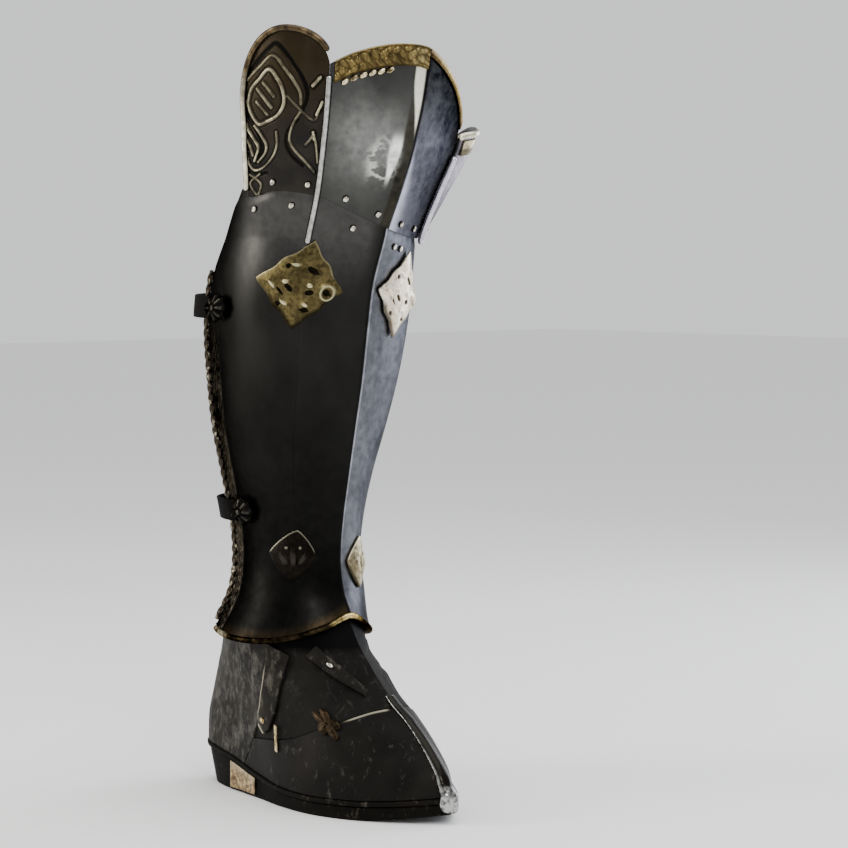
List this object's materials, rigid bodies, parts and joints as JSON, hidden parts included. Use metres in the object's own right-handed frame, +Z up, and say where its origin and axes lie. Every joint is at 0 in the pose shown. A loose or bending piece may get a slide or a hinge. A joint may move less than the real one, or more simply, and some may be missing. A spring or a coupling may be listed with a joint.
{
  "type": "greave with knee flare on its armoured boot",
  "caption": "Blackened steel shin greave with a keeled knee plate, flared side lobes, brass trim and diamond mounts, standing on its armoured leather boot.",
  "frame": {"origin": "on the floor under the ankle, on the flat underside of the sole", "axes": "+Z up the leg, -Y towards the toe, -X towards the outer side of the right leg"},
  "size_m": [0.2113, 0.2796, 0.599],
  "materials": {
    "blackened_steel": "satin, blackened",
    "dark_bronze": "antiqued bronze",
    "aged_brass": "antiqued brass",
    "bright_steel": "worn bright",
    "black_leather": "smooth, scuffed",
    "grey_leather": "scuffed matte",
    "sole_leather": "matte"
  },
  "bodies": {
    "root": {"shin_front": "blackened_steel", "shin_outer": "blackened_steel", "shin_inner": "blackened_steel", "knee_front": "blackened_steel", "knee_wing_inner": "blackened_steel", "knee_wing_outer": "dark_bronze", "rim_wing_outer": "dark_bronze", "rim_wing_inner": "dark_bronze", "edge_roll_outer": "dark_bronze", "edge_roll_inner": "dark_bronze", "mount_lower_outer": "dark_bronze", "mount_lower_inner": "dark_bronze", "rosette_upper": "dark_bronze", "rosette_lower": "dark_bronze", "leaf_ornament": "dark_bronze", "ankle_ornament": "dark_bronze", "band_front_outer": "aged_brass", "band_front_inner": "aged_brass", "band_wing_inner": "aged_brass", "mount_upper_outer": "aged_brass", "mount_upper_inner": "aged_brass", "hem_roll": "aged_brass", "heel_plate": "aged_brass", "gilt_bar": "aged_brass", "boot_rivet_outer": "aged_brass", "boot_rivet_inner": "aged_brass", "rib_outer": "bright_steel", "rib_inner": "bright_steel", "bead_row": "bright_steel", "buckle_upper": "bright_steel", "buckle_lower": "bright_steel", "toe_spine": "bright_steel", "instep_rivet": "bright_steel", "rivet_knee_1": "bright_steel", "rivet_knee_2": "bright_steel", "rivet_knee_3": "bright_steel", "rivet_knee_4": "bright_steel", "rivet_knee_5": "bright_steel", "rivet_knee_6": "bright_steel", "rivet_knee_7": "bright_steel", "rivet_knee_8": "bright_steel", "rivet_shin_1": "bright_steel", "rivet_shin_2": "bright_steel", "rivet_shin_3": "bright_steel", "rivet_shin_4": "bright_steel", "rivet_shin_5": "bright_steel", "rivet_shin_6": "bright_steel", "boot_vamp": "black_leather", "toe_cap": "black_leather", "boot_shaft": "black_leather", "strap_upper": "black_leather", "strap_lower": "black_leather", "boot_strap_outer": "black_leather", "boot_strap_inner": "black_leather", "instep_strap": "black_leather", "boot_quarter": "grey_leather", "sole": "sole_leather", "welt": "sole_leather"}
  },
  "joints": []
}
